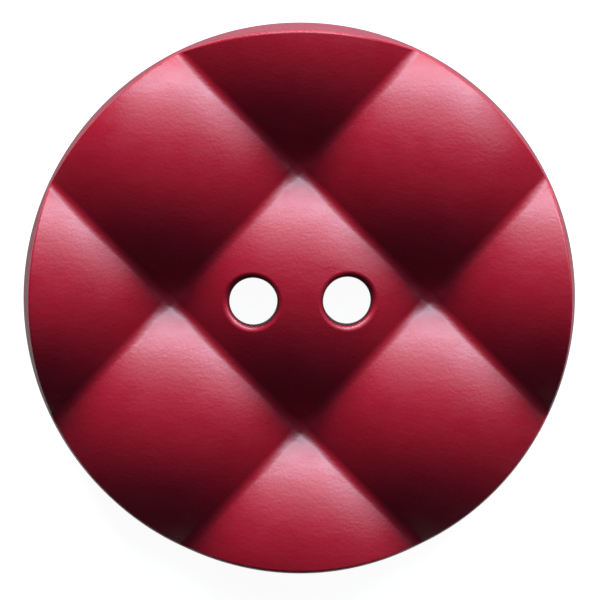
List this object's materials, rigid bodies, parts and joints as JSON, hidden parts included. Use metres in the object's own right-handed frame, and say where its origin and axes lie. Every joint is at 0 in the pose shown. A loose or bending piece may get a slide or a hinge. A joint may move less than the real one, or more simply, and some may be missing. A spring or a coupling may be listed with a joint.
{
  "type": "two-hole sewing button",
  "caption": "Round sew-through garment button with a quilted front of low domes between diagonal grooves, round thread holes and a flat back.",
  "frame": {"origin": "middle of the flat back face", "axes": "+Z out of the quilted front, +X along the line through the thread holes, +Y up in the picture"},
  "size_m": [0.028, 0.028, 0.0034],
  "materials": {
    "button": "satin, faintly mottled raspberry"
  },
  "bodies": {
    "root": {"button": "button"}
  },
  "joints": []
}
